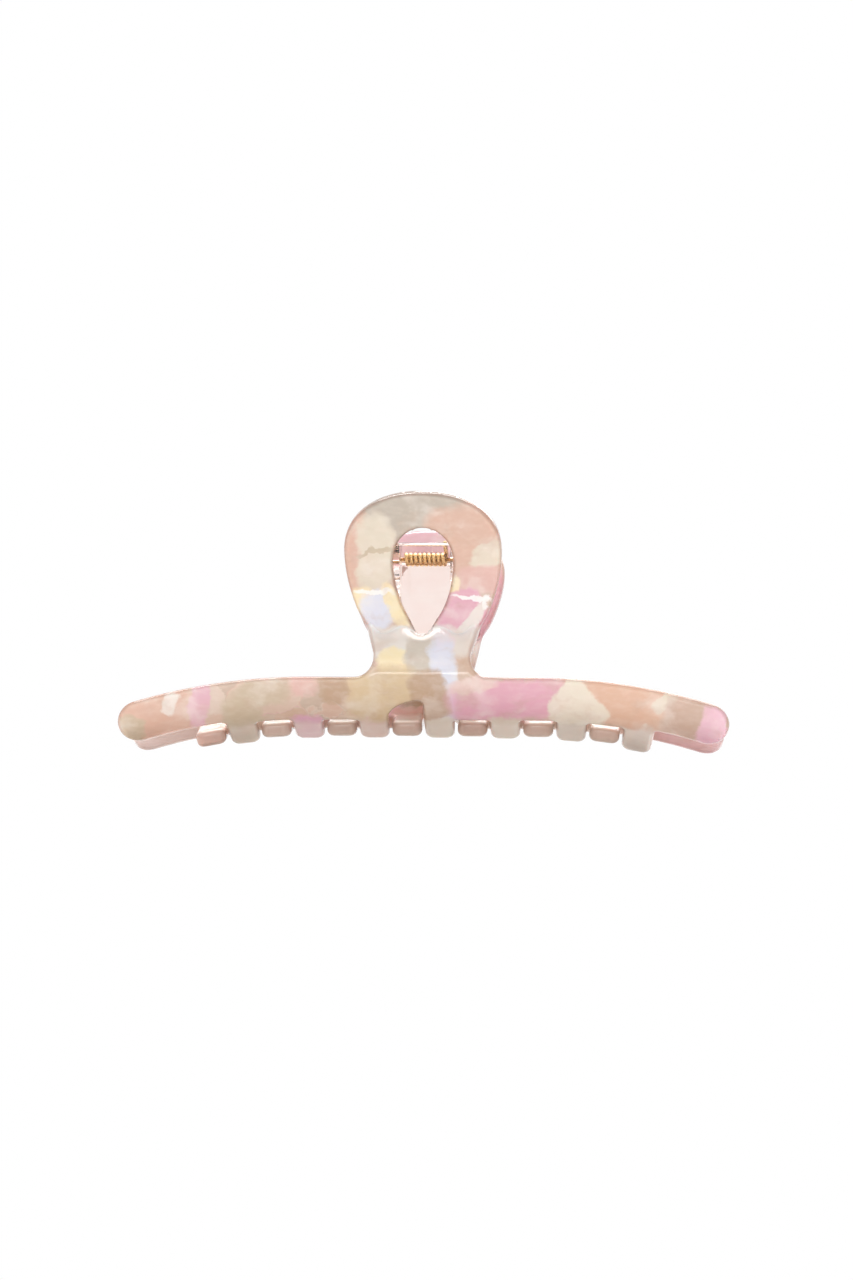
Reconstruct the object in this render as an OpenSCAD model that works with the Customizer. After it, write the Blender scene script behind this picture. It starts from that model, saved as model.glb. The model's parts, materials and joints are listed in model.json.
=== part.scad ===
// Long acetate claw clip: two toothed jaws with teardrop loop handles, clear hinge
// plates and lugs, a riveted hinge pin and a torsion spring.
// X runs along the clip, Y from front to back, Z up. The origin lies midway between
// the jaws, level with the lowest teeth.

/* [Side profile of a jaw] */
// Thickness of the acetate sheet
sheet = 3.4; // [2.8:0.1:4]
// Distance from the middle plane to the jaw's widest point, at mid sheet
bulge = 10.4; // [9:0.1:13]
// Lean of the flat finger pad from upright
pad_lean = 32; // [28:1:36]
// Radius of the handle's bend under the pad
handle_r = 35; // [30:1:42]
// Lean of the handle where it meets the waist
waist_lean = 8; // [5:1:11]
// Radius of the fold at the waist
fold_r = 2.5; // [2.2:0.1:3.5]
// Slope of the jaw under the fold
shoulder_slope = 50; // [44:1:56]
// Radius of the jaw above its widest point
shoulder_r = 10.4; // [9:0.1:13]
// Radius of the jaw's curl under its widest point
curl_r = 9.6; // [8.6:0.1:12]
// Angle at which the curl runs out into the teeth
curl_turn = 70; // [66:1:74]

/* [Arms] */
// Half of the clip's overall length
half_length = 65; // [62:0.5:78]
// Half length of the straight middle
straight = 24; // [20:0.5:28]
// Radius on which the arms droop
droop_r = 132; // [118:1:170]
// Distance from the jaw's widest point down to the arms' upper edge
arm_top_drop = 1.3; // [0.5:0.1:3]
// Distance from the middle plane to the edge between the teeth
gap_edge = 4.3; // [4.1:0.1:5.5]
// Distance from the middle plane to the arms' lower edge, outside the teeth
end_edge = 5.6; // [4.6:0.1:6.5]
// Radius of the arms' round ends
arm_end_r = 4.1; // [3.4:0.1:4.6]

/* [Teeth] */
// Number of teeth on each jaw
teeth = 7; // [5:2:7]
// Distance from one tooth to the next
pitch = 14.2; // [12:0.1:15]
// Free space on each side of a tooth between two others
tooth_clearance = 0.4; // [0.3:0.05:0.8]
// How far the middle tooth reaches past the middle plane
middle_reach = 2.4; // [0:0.1:2.8]
// Radius of the curve that the tips lie on, seen from above
tip_curve_r = 860; // [820:5:1200]
// Rounding of the tips' corners
tip_round = 2; // [1:0.1:2.6]
// Height of the arch in the gap nearest the middle
arch_rise = 4.6; // [3:0.1:5.5]

/* [Loop handle] */
// Height of the loop's top above the jaw's widest point
loop_rise = 37.8; // [34:0.1:39]
// Half width of the loop
loop_half = 17; // [15:0.1:20]
// Height of the round upper part of the loop
loop_crown = 11.8; // [10:0.1:13]
// Half width of the neck
neck_half = 10.3; // [9:0.1:12]
// Radius of the fillet between the neck and the arms
neck_fillet = 4; // [2.5:0.1:5]
// Half width of the teardrop window
window_half = 6.5; // [5:0.1:7]
// Height of the teardrop window
window_height = 22.9; // [18:0.1:23.5]
// Distance from the loop's top down to the window
window_margin = 7.2; // [6:0.1:9]

/* [Hinge] */
// Height of the pin above the jaw's widest point
pin_rise = 27; // [25:0.1:28]
// Diameter of the pin
pin_d = 0.8; // [0.6:0.05:1.2]
// Radial clearance of the pin in the lugs
pin_clearance = 0.05; // [0.03:0.01:0.1]
// Width of a hinge plate
plate_width = 24; // [23.4:0.1:26]
// Thickness of a hinge plate
plate_thick = 2; // [1.4:0.1:2.4]
// How far a hinge plate reaches up the flat pad
plate_up = 3.1; // [2:0.1:4]
// Lean of the handle at a hinge plate's lower edge
plate_low_lean = 10.4; // [10.4:0.1:20]
// Free width between the inner lugs, for the spring
spring_bay = 10.8; // [10.6:0.1:11.4]
// How far a hinge plate runs on straight below that, behind the window's point
plate_apron = 2.6; // [1:0.1:3.2]
// Lean of the handle at a lug's lower edge
lug_low_lean = 17.6; // [14:0.4:20]
// Thickness of a lug
lug_thick = 3; // [2:0.1:3.1]
// Free space between two lugs side by side
lug_gap = 0.2; // [0.1:0.05:0.4]
// Radius of a lug's boss
boss_r = 2.6; // [2:0.1:3]
// Diameter of the pin's domed head
head_d = 2; // [1.8:0.1:3]
// Height of the pin's domed head
head_h = 0.7; // [0.5:0.05:1]

/* [Spring] */
// Diameter of the wire
wire_d = 0.9; // [0.6:0.05:0.95]
// Distance from the pin's axis to the middle of the wire
coil_r = 1.1; // [1.1:0.05:1.4]
// Turns in the coil
turns = 9; // [7:1:9]
// Distance between turns
coil_pitch = 1; // [0.96:0.01:1.06]
// Rise of the legs from level
leg_rise = 3; // [0:1:8]
// Free space between a leg's tip and the hinge plate
leg_clearance = 0.1; // [0.05:0.01:0.2]

/* [Hidden] */
$fn = 64;

pearl = [0.91, 0.80, 0.76];
clear = [0.93, 0.88, 0.87, 0.4];
gold = [0.83, 0.66, 0.33];

// The profile lies in its own plane: first coordinate outwards, second up. A heading
// is the angle of the sheet's outer face from level, 0 where the jaw is widest.
function facing(heading) = [cos(heading), sin(heading)];
tooth_dir = [-sin(curl_turn), -cos(curl_turn)];
pad_dir = [sin(pad_lean), cos(pad_lean)];

// The middle is thinner by this on each face and longer by key, so that its ends lie inside the arms.
nest = 0.01;
key = 1;

// The lowest points are the outer corners of the last tooth, or the arm's end.
tooth_width = pitch / 2 - tooth_clearance;
last_place = pitch * (teeth - 1) / 2 + pitch / 4;
function droop(place) = droop_r - sqrt(pow(droop_r, 2) - pow(max(0, abs(place) - straight), 2));
function reach(place) = middle_reach + tip_curve_r - sqrt(pow(tip_curve_r, 2) - place * place);
curl_drop = curl_r * sin(curl_turn);
tooth_run = bulge - curl_r * (1 - cos(curl_turn)) + reach(last_place);
last_drop = curl_drop + tooth_run / tan(curl_turn) + sheet / 2 * sin(curl_turn) + droop(last_place + tooth_width / 2);
end_in = end_edge - bulge + curl_r;
end_drop = sqrt(pow(curl_r + sheet / 2, 2) - end_in * end_in) + droop(half_length - arm_end_r);
widest = [bulge, max(last_drop, end_drop)];

// Centres of the profile's four bends, at mid sheet.
shoulder_centre = widest - [shoulder_r, 0];
curl_centre = widest - [curl_r, 0];
fold_centre = shoulder_centre + (shoulder_r + fold_r) * facing(shoulder_slope);
handle_centre = fold_centre + (handle_r - fold_r) * facing(-waist_lean);
pad_foot = handle_centre - handle_r * facing(-pad_lean);
curl_end = curl_centre + curl_r * facing(-curl_turn);

// Each station of the profile is a point at mid sheet and its heading.
function bend(centre, radius, from, to, steps) =
    [for (i = [0 : steps]) let (h = from + (to - from) * i / steps) [centre + radius * facing(h), h]];
handle_steps = 10;
handle_step = (pad_lean - waist_lean) / handle_steps;
pad_length = (widest[1] + loop_rise - pad_foot[1]) / cos(pad_lean) + sheet;
handle_stations = concat(
    [[pad_foot + pad_length * pad_dir, -pad_lean]],
    bend(handle_centre, -handle_r, -pad_lean, -waist_lean, handle_steps),
    bend(fold_centre, -fold_r, -waist_lean + 7, shoulder_slope, 7),
    bend(shoulder_centre, shoulder_r, shoulder_slope - 5, 5, 9));
tooth_stretch = 12;
arm_start = -asin(arm_top_drop / (curl_r + sheet / 2));
curl_stations = concat(
    bend(curl_centre, curl_r, arm_start, -curl_turn, 12),
    [[curl_end + tooth_stretch * tooth_dir, -curl_turn]]);

arm_top = widest[1] - arm_top_drop;
loop_top = widest[1] + loop_rise;
pin_z = widest[1] + pin_rise;
inner_lug_x = spring_bay / 2;
outer_lug_x = inner_lug_x + lug_thick + lug_gap;
lug_end = outer_lug_x + lug_thick;
too_far = 3 * half_length;

// ---------- placing ----------

// Extrudes a drawing of the profile along X, on the front side.
module along_x(width) rotate([90, 0, -90]) linear_extrude(width, center = true) children();

// Extrudes a drawing in the X-Z plane from front to back.
module along_y(depth) rotate([90, 0, 0]) linear_extrude(depth, center = true) children();

// The rear half is the same as the front half, turned about the upright axis.
module turned_round() rotate([0, 0, 180]) children();

// A band of the profile between two distances from mid sheet, outwards positive.
module band(stations, inner, outer) {
    last = len(stations) - 1;
    polygon(concat(
        [for (i = [0 : last]) stations[i][0] + outer * facing(stations[i][1])],
        [for (i = [last : -1 : 0]) stations[i][0] + inner * facing(stations[i][1])]));
}

// ---------- jaw ----------

// How the sides flare, how square the crown is, and how the window swells from its point.
flare = 1.4;
crown_power = 2 / 2.2;
swell = 2;

// Half width of the neck and loop at a height, up to the loop's widest point.
crown_foot = loop_top - loop_crown;
neck_top = arm_top + neck_fillet;
function side_half(z) =
    neck_half + (loop_half - neck_half) * pow(sin(90 * (z - neck_top) / (crown_foot - neck_top)), flare);

module face_outline() {
    side = [for (i = [0 : 16]) let (z = neck_top + (crown_foot - neck_top) * i / 16) [side_half(z), z]];
    crown = [for (i = [1 : 16]) let (a = 90 * i / 16)
             [loop_half * pow(cos(a), crown_power), crown_foot + loop_crown * pow(sin(a), crown_power)]];
    half = concat(side, crown);
    fillet_x = neck_half + neck_fillet;
    polygon(concat(half, [for (i = [len(half) - 1 : -1 : 0]) [-half[i][0], half[i][1]]]));
    translate([-straight - key, -half_length]) square([2 * (straight + key), half_length + arm_top]);
    difference() {
        translate([-fillet_x, arm_top - 1]) square([2 * fillet_x, neck_fillet + 1]);
        for (s = [-1, 1]) translate([s * fillet_x, neck_top]) circle(neck_fillet);
    }
}

// A round top and two swelling sides that meet in a point.
module window_outline() {
    shoulder = window_height - window_half;
    side = [for (i = [0 : 14]) [window_half * (1 - pow(1 - i / 14, swell)), shoulder * i / 14]];
    translate([0, loop_top - window_margin - window_height]) {
        translate([0, shoulder]) circle(window_half);
        polygon(concat(side, [for (i = [14 : -1 : 1]) [-side[i][0], side[i][1]]]));
    }
}

module middle() intersection() {
    along_x(2 * (straight + key))
        band(concat(handle_stations, curl_stations), -sheet / 2 + nest, sheet / 2 - nest);
    along_y(4 * bulge + loop_rise) difference() {
        face_outline();
        window_outline();
    }
}

// The curl and the teeth's stretch, swept down about an axis under the middle.
module arm() {
    axis_z = widest[1] - droop_r;
    turn = asin((half_length - straight) / (droop_r - curl_r));
    end_x = half_length - arm_end_r;
    end_z = arm_top - (arm_top - widest[1] + curl_drop + sheet / 2) / 2 - droop(end_x);
    difference() {
        translate([straight, 0, axis_z]) rotate([90, 0, 0]) rotate([0, 0, 90 - turn])
            rotate_extrude(angle = turn, $fn = 360) translate([-axis_z, 0])
                rotate(-90) mirror([1, 0]) band(curl_stations, -sheet / 2, sheet / 2);
        along_y(too_far) difference() {
            translate([end_x, end_z - too_far / 2]) square([too_far, too_far]);
            translate([end_x, end_z]) circle(arm_end_r);
        }
    }
}

// Seen from above: the arms down to their lower edge, the edge between the teeth, and the teeth.
module comb() {
    toothed = pitch * (teeth - 1) + tooth_width;
    translate([-too_far / 2, -too_far - end_edge]) square([too_far, too_far]);
    translate([pitch / 4 - toothed / 2, -end_edge - 1]) square([toothed, end_edge + 1 - gap_edge]);
    for (i = [0 : teeth - 1]) {
        place = pitch * (i - (teeth - 1) / 2) + pitch / 4;
        inset = tooth_width / 2 - tip_round;
        tip = reach(place) - tip_round;
        translate([place, 0]) {
            translate([-tooth_width / 2, -gap_edge - 1]) square([tooth_width, tip + gap_edge + 1]);
            translate([-inset, tip]) square([2 * inset, tip_round]);
            for (s = [-1, 1]) translate([s * inset, tip]) circle(tip_round);
        }
    }
}

// The arch is cut square to the sheet, this far round the curl from the teeth. It rises
// from the tooth on its left.
arch_lead = 20;
module arch() {
    right = pitch / 4 - tooth_width / 2;
    width = pitch - tooth_width;
    aim = curl_turn - arch_lead;
    foot = curl_r * sin(arch_lead);
    translate([right, -curl_centre[0], curl_centre[1]]) rotate([90 + aim, 0, 0])
        linear_extrude(curl_r + 2 * sheet)
            polygon(concat([[0, -2 * foot], [0, arch_rise - foot]],
                [for (i = [1 : 10]) let (a = 9 * i) [-width * sin(a), arch_rise * cos(a) - foot]],
                [[-width, -2 * foot]]));
}

module jaw() difference() {
    intersection() {
        union() {
            middle();
            arm();
            mirror([1, 0, 0]) arm();
        }
        linear_extrude(loop_top + sheet) comb();
    }
    arch();
}

// ---------- hinge ----------

// They end at one of the handle's own stations, so that the faces meet all along.
function hinge_stations(low_lean) = let (steps = round((pad_lean - low_lean) / handle_step))
    concat([[pad_foot + plate_up * pad_dir, -pad_lean]],
           bend(handle_centre, -handle_r, -pad_lean, steps * handle_step - pad_lean, steps));
plate_handle = hinge_stations(plate_low_lean);
plate_foot = plate_handle[len(plate_handle) - 1];
plate_stations = concat(plate_handle,
    [[plate_foot[0] + plate_apron * [sin(plate_foot[1]), -cos(plate_foot[1])], plate_foot[1]]]);
lug_stations = hinge_stations(lug_low_lean);
plate_outer = nest - sheet / 2;
plate_inner = plate_outer - plate_thick;

// Plate bonded to the handle's inner face.
module hinge_plate() along_x(plate_width) band(plate_stations, plate_inner, plate_outer);

// Point where a line from a foot grazes the boss on one side of it, just under its surface.
graze = 0.97 * boss_r;
function touch(foot, side) =
    let (d = foot - [0, pin_z], a = atan2(d[1], d[0]) + side * acos(graze / norm(d)))
    [0, pin_z] + graze * facing(a);

// Lug bonded to the plate: a web that narrows to a round boss about the pin.
module lug(from) {
    last = len(lug_stations) - 1;
    foot = [for (i = [0 : last]) lug_stations[i][0] + plate_inner * facing(lug_stations[i][1])];
    translate([from + lug_thick / 2, 0, 0]) difference() {
        union() {
            along_x(lug_thick) polygon(concat(foot, [touch(foot[last], -1), touch(foot[0], 1)]));
            translate([0, 0, pin_z]) rotate([0, 90, 0]) cylinder(h = lug_thick, r = boss_r, center = true);
        }
        translate([0, 0, pin_z]) rotate([0, 90, 0])
            cylinder(h = 2 * lug_thick, r = pin_d / 2 + pin_clearance, center = true);
    }
}

// Pin with a domed head, and a smaller peened end outside the other outer lug.
module pin() translate([0, 0, pin_z]) rotate([0, 90, 0]) {
    span = 2 * (lug_end + pin_clearance);
    rim = head_h / 3;
    cylinder(h = span, d = pin_d, center = true);
    for (end = [[-1, head_d], [1, 0.8 * head_d]]) scale([1, 1, end[0]]) translate([0, 0, span / 2]) {
        cylinder(h = rim, d = end[1]);
        translate([0, 0, rim]) cylinder(h = head_h - rim, d1 = end[1], d2 = 0.6 * end[1]);
    }
}

// ---------- spring ----------

coil_half = turns * coil_pitch / 2;
coil_sweep = 360 * turns - 2 * leg_rise;
function on_coil(t) =
    let (a = leg_rise + coil_sweep * t)
    [coil_half * (2 * t - 1), -coil_r * sin(a), pin_z + coil_r * cos(a)];

// Each leg leaves the top of the coil and runs out to its hinge plate.
leg_root = [-coil_r * sin(leg_rise), pin_z + coil_r * cos(leg_rise)];
plate_face = pad_foot * facing(-pad_lean) + plate_inner;
leg_length = (plate_face - wire_d / 2 - leg_clearance - leg_root * facing(-pad_lean))
    / (facing(leg_rise) * facing(-pad_lean));
leg_tip = leg_root + leg_length * facing(leg_rise);

coil_steps = 16 * turns;
wire_path = concat(
    [[-coil_half, leg_tip[0], leg_tip[1]]],
    [for (i = [0 : coil_steps]) on_coil(i / coil_steps)],
    [[coil_half, -leg_tip[0], leg_tip[1]]]);

function direction(path, i) =
    let (d = path[min(i + 1, len(path) - 1)] - path[max(i - 1, 0)]) d / norm(d);

// A round tube along a path, as one closed solid.
module tube(path, diameter, sides) {
    rings = len(path);
    points = [for (i = [0 : rings - 1])
        let (t = direction(path, i), a = cross(t, [1, 0, 0]), across = a / norm(a), over = cross(t, across))
        for (k = [0 : sides - 1])
            path[i] + diameter / 2 * (across * cos(360 * k / sides) + over * sin(360 * k / sides))];
    faces = concat(
        [[for (k = [0 : sides - 1]) k]],
        [for (i = [0 : rings - 2], k = [0 : sides - 1])
            [i * sides + k, (i + 1) * sides + k, (i + 1) * sides + (k + 1) % sides, i * sides + (k + 1) % sides]],
        [[for (k = [sides - 1 : -1 : 0]) (rings - 1) * sides + k]]);
    polyhedron(points, faces, convexity = 6);
}

module front_jaw() color(pearl) jaw();
module rear_jaw() color(pearl) turned_round() jaw();
module front_hinge_plate() color(clear) hinge_plate();
module front_inner_lug() color(clear) lug(-inner_lug_x - lug_thick);
module front_outer_lug() color(clear) lug(outer_lug_x);
module rear_hinge_plate() color(clear) turned_round() hinge_plate();
module rear_inner_lug() color(clear) turned_round() lug(-inner_lug_x - lug_thick);
module rear_outer_lug() color(clear) turned_round() lug(outer_lug_x);
module hinge_pin() color(gold) pin();
module torsion_spring() color(gold) tube(wire_path, wire_d, 8);

front_jaw();
rear_jaw();
front_hinge_plate();
front_inner_lug();
front_outer_lug();
rear_hinge_plate();
rear_inner_lug();
rear_outer_lug();
hinge_pin();
torsion_spring();
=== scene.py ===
import json
import math

import bmesh
import bpy
import numpy as np
from mathutils import Matrix, Vector, geometry, kdtree

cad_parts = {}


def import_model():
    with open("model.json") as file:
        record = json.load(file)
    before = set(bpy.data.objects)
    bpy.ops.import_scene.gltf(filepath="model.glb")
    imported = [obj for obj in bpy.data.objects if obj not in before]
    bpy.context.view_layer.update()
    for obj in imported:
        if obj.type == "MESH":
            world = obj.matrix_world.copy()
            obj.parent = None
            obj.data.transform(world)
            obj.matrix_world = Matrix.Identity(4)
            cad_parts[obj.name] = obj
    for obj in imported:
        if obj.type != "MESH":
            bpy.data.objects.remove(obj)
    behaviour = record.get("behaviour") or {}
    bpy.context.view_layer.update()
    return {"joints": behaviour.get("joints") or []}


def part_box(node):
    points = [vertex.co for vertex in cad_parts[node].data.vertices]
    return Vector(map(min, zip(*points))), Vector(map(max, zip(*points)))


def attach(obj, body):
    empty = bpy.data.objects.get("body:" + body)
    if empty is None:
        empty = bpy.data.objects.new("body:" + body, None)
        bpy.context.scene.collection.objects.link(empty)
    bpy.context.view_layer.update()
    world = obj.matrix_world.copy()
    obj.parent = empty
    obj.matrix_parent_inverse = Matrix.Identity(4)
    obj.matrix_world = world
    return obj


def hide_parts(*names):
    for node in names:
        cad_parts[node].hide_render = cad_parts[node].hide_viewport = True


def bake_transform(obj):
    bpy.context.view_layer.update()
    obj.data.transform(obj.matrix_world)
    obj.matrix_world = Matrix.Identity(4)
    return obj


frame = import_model()

MM = 0.001
JOINT = frame["joints"][0]
PIN_Z = JOINT["pos_m"][2] / MM
HALF_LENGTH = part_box("front_jaw")[1].x / MM
LOOP_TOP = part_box("front_jaw")[1].z / MM

# The side profile of a jaw, as in the CAD source, in millimetres and degrees.
SHEET = 3.4
BULGE = 10.4
PAD_LEAN = 32
HANDLE_R, WAIST_LEAN = 35, 8
FOLD_R, SHOULDER_SLOPE = 2.5, 50
SHOULDER_R = 10.4
CURL_R, CURL_TURN = 9.6, 70
STRAIGHT, DROOP_R = 24, 132
LOOP_RISE = 37.8
WIDEST_Z = LOOP_TOP - LOOP_RISE
TEETH, PITCH, TOOTH_CLEARANCE = 7, 14.2, 0.4
TOOTH_WIDTH = PITCH / 2 - TOOTH_CLEARANCE


# ---------- the bent sheet ----------

def facing(heading):
    """Outward normal of the profile at a heading, as (outwards, up)."""
    a = math.radians(heading)
    return np.array([math.cos(a), math.sin(a)])


SHOULDER_C = np.array([BULGE - SHOULDER_R, WIDEST_Z])
CURL_C = np.array([BULGE - CURL_R, WIDEST_Z])
FOLD_C = SHOULDER_C + (SHOULDER_R + FOLD_R) * facing(SHOULDER_SLOPE)
HANDLE_C = FOLD_C + (HANDLE_R - FOLD_R) * facing(-WAIST_LEAN)

# Distances along the profile, upwards from the jaw's widest point.
S_SHOULDER = SHOULDER_R * math.radians(SHOULDER_SLOPE)
S_FOLD = S_SHOULDER + FOLD_R * math.radians(SHOULDER_SLOPE + WAIST_LEAN)
S_HANDLE = S_FOLD + HANDLE_R * math.radians(PAD_LEAN - WAIST_LEAN)
S_CURL = -CURL_R * math.radians(CURL_TURN)


def profile(s):
    """Point at mid sheet and heading, at a distance along the profile."""
    if s < S_CURL:
        end = CURL_C + CURL_R * facing(-CURL_TURN)
        return end + (S_CURL - s) * facing(-CURL_TURN - 90), -CURL_TURN
    if s < 0:
        h = math.degrees(s / CURL_R)
        return CURL_C + CURL_R * facing(h), h
    if s < S_SHOULDER:
        h = math.degrees(s / SHOULDER_R)
        return SHOULDER_C + SHOULDER_R * facing(h), h
    if s < S_FOLD:
        h = SHOULDER_SLOPE - math.degrees((s - S_SHOULDER) / FOLD_R)
        return FOLD_C - FOLD_R * facing(h), h
    if s < S_HANDLE:
        h = -WAIST_LEAN - math.degrees((s - S_FOLD) / HANDLE_R)
        return HANDLE_C - HANDLE_R * facing(h), h
    foot = HANDLE_C - HANDLE_R * facing(-PAD_LEAN)
    return foot + (s - S_HANDLE) * facing(90 - PAD_LEAN), -PAD_LEAN


S_TOP = S_HANDLE + 19
S_TABLE = np.linspace(S_CURL - 12, S_TOP, 3000)
Z_TABLE = np.array([profile(s)[0][1] for s in S_TABLE])


def along(z):
    """Distance along the profile at a height."""
    return float(np.interp(z, Z_TABLE, S_TABLE))


# The fold wanders a little up and down along the clip, as hand-bent sheet does.
WANDER, WANDER_PITCH, WANDER_SHIFT = 0.85, 8.15, 0.5


def wander(x, s):
    near = math.exp(-((s - S_FOLD + 1) / 3.2) ** 2)
    wave = -math.cos(2 * math.pi * (x + WANDER_SHIFT) / WANDER_PITCH)
    return WANDER * near * min(1.4, wave + 2.0 * max(0.0, (abs(x) - 9.0) / 4.0))


ARM_R = DROOP_R - 12


def on_jaw(x, s, out):
    """Place in the frame, in metres, of a point of the front jaw's flat pattern."""
    point, h = profile(s)
    point = point + out * facing(h) + np.array([0, wander(x, s)])
    turn = max(0.0, abs(x) - STRAIGHT) / ARM_R
    radius = point[1] - (WIDEST_Z - DROOP_R)
    across = min(abs(x), STRAIGHT) + radius * math.sin(turn)
    height = WIDEST_Z - DROOP_R + radius * math.cos(turn)
    return Vector((math.copysign(across, x), -point[0], height)) * MM


# ---------- outlines ----------

def rounded(corners, step=0.45):
    """Closed outline through corners (x, y, radius), each corner rounded, evenly resampled."""
    count = len(corners)
    path = []
    for i, (x, y, r) in enumerate(corners):
        p = np.array([x, y])
        if r == 0:
            path.append(p)
            continue
        a = np.array(corners[i - 1][:2]) - p
        b = np.array(corners[(i + 1) % count][:2]) - p
        room = min(np.linalg.norm(a), np.linalg.norm(b))
        a, b = a / np.linalg.norm(a), b / np.linalg.norm(b)
        half = math.acos(max(-1, min(1, float(a @ b)))) / 2
        cut = min(r / math.tan(half), 0.499 * room if r < 3 else room)
        r = cut * math.tan(half)
        centre = p + (a + b) / np.linalg.norm(a + b) * r / math.sin(half)
        first, last = p + a * cut - centre, p + b * cut - centre
        turn = math.atan2(first[0] * last[1] - first[1] * last[0], first @ last)
        for k in range(9):
            t = turn * k / 8
            c, n = math.cos(t), math.sin(t)
            path.append(centre + np.array([c * first[0] - n * first[1], n * first[0] + c * first[1]]))
    return resample(np.array(path), step)


def resample(path, step):
    """The closed path at even steps."""
    loop = np.vstack([path, path[:1]])
    lengths = np.concatenate([[0], np.cumsum(np.linalg.norm(np.diff(loop, axis=0), axis=1))])
    count = max(12, int(round(lengths[-1] / step)))
    at = np.linspace(0, lengths[-1], count, endpoint=False)
    return np.column_stack([np.interp(at, lengths, loop[:, i]) for i in (0, 1)])


def inwards(loop, hole):
    """Unit vectors at an outline's points that lead into the material."""
    d = np.roll(loop, -1, axis=0) - np.roll(loop, 1, axis=0)
    n = np.column_stack([-d[:, 1], d[:, 0]])
    n /= np.linalg.norm(n, axis=1)[:, None]
    area = np.sum(loop[:, 0] * np.roll(loop[:, 1], -1) - np.roll(loop[:, 0], -1) * loop[:, 1])
    return n * (1 if (area > 0) != hole else -1)


def inside(points, loop):
    """Which points lie inside a closed outline."""
    x, y = points[:, 0], points[:, 1]
    result = np.zeros(len(points), bool)
    for (x1, y1), (x2, y2) in zip(loop, np.roll(loop, -1, axis=0)):
        if y1 != y2:
            crosses = ((y1 > y) != (y2 > y)) & (x < (x2 - x1) * (y - y1) / (y2 - y1) + x1)
            result ^= crosses
    return result


# ---------- meshes ----------

# How far in from a sheet's cut edges its colour is painted deeper as shade, and where its teeth are
# painted paler as light.
RIM_DEPTH = 0.9
COMB_START, COMB_FADE = S_CURL + 1.5, 2.0
# The painted highlight along the fold, and the fainter painted sheen just under it.
FOLD_HIGHLIGHT_LINE, FOLD_HIGHLIGHT_HALF = S_SHOULDER + 0.4, 0.95
PAINTED_SHEEN_LINE, PAINTED_SHEEN_HALF = FOLD_HIGHLIGHT_LINE - 1.6, 1.7

# Rings that round a cut edge, and the spacing of the mesh on faces and round the fold.
RING_COUNT = 5
MESH_STEP, FOLD_STEP, LUG_STEP = 0.8, 0.22, 0.7


def mesh_object(name, vertices, faces):
    mesh = bpy.data.meshes.new(name)
    mesh.from_pydata([tuple(v) for v in vertices], [], faces)
    bm = bmesh.new()
    bm.from_mesh(mesh)
    bmesh.ops.recalc_face_normals(bm, faces=bm.faces)
    bm.to_mesh(mesh)
    bm.free()
    mesh.shade_smooth()
    piece = bpy.data.objects.new(name, mesh)
    bpy.context.scene.collection.objects.link(piece)
    return piece


def edge_rings(loop, hole, half, edge):
    """Rings that round a cut edge over, from the rim inwards, each with its distance out."""
    lead = inwards(loop, hole)
    turns = [math.pi / 2 * k / (RING_COUNT - 1) for k in range(RING_COUNT)]
    return [(loop + lead * edge * (1 - math.cos(a)), half - edge + edge * math.sin(a)) for a in turns]


def point_tree(points):
    """A tree that finds the nearest of some flat points."""
    tree = kdtree.KDTree(len(points))
    for i, p in enumerate(points):
        tree.insert((p[0], p[1], 0), i)
    tree.balance()
    return tree


def in_sheet(points, outline, holes):
    """Which points lie in an outline and in none of its holes."""
    keep = inside(points, outline)
    for hole in holes:
        keep &= ~inside(points, hole)
    return keep


def face_grid(outline, holes, edge, inner, rows, columns):
    """Grid points of a sheet's face that lie clear of its rounded edges."""
    grid = np.array([(u, v) for v in rows for u in columns])
    keep = in_sheet(grid, outline, holes) & inside(grid, outline + inwards(outline, False) * edge)
    tree = point_tree(inner)
    clear = 0.5 * (columns[1] - columns[0])
    return [p for p in grid[keep] if tree.find((p[0], p[1], 0))[2] > clear]


def face_points(outline, holes, half, edge, rows, columns):
    """Points of a flat face, how far out each lies, its seams, and the points of each rim."""
    points, outs, seams, rims, inner = [], [], [], [], []
    for loop, hole in [(outline, False)] + [(h, True) for h in holes]:
        rims.append(range(len(points), len(points) + len(loop)))
        for ring, out in edge_rings(loop, hole, half, edge):
            start, count = len(points), len(ring)
            points.extend(ring)
            outs.extend([out] * count)
            seams += [(start + i, start + (i + 1) % count) for i in range(count)]
        inner.extend(ring)
    grid = face_grid(outline, holes, edge, inner, rows, columns)
    return points + grid, outs + [half] * len(grid), seams, rims


def face_triangles(outline, holes, half, edge, rows, columns):
    """A flat face in triangles: its points, how far out each lies, its faces and its rims."""
    points, outs, seams, rims = face_points(outline, holes, half, edge, rows, columns)
    flat = [Vector(p) for p in points]
    verts, _, faces, origin, _, _ = geometry.delaunay_2d_cdt(flat, seams, [], 0, 1e-7)
    source = [o[0] if o else None for o in origin]
    outs = [half if i is None else outs[i] for i in source]
    centres = np.array([np.mean([verts[i] for i in f], axis=0) for f in faces])
    faces = [tuple(f) for f, keep in zip(faces, in_sheet(centres, outline, holes)) if keep]
    where = {i: k for k, i in enumerate(source)}
    return verts, outs, faces, [[where[i] for i in rim] for rim in rims]


def slab(name, outline, holes, half, edge, place, rows, columns):
    """A sheet cut to an outline, with rounded edges, bent by place(u, v, out)."""
    verts, outs, faces, rims = face_triangles(outline, holes, half, edge, rows, columns)
    count = len(verts)
    top = [place(v[0], v[1], out) for v, out in zip(verts, outs)]
    bottom = [place(v[0], v[1], -out) for v, out in zip(verts, outs)]
    solid = faces + [tuple(i + count for i in reversed(f)) for f in faces]
    for rim in rims:
        solid += [(a, b, b + count, a + count) for a, b in zip(rim, rim[1:] + rim[:1])]
    piece = mesh_object(name, top + bottom, solid)
    mark_sheet(piece, verts, [outline] + holes)
    drop_loose_points(piece.data)
    return piece


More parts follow.
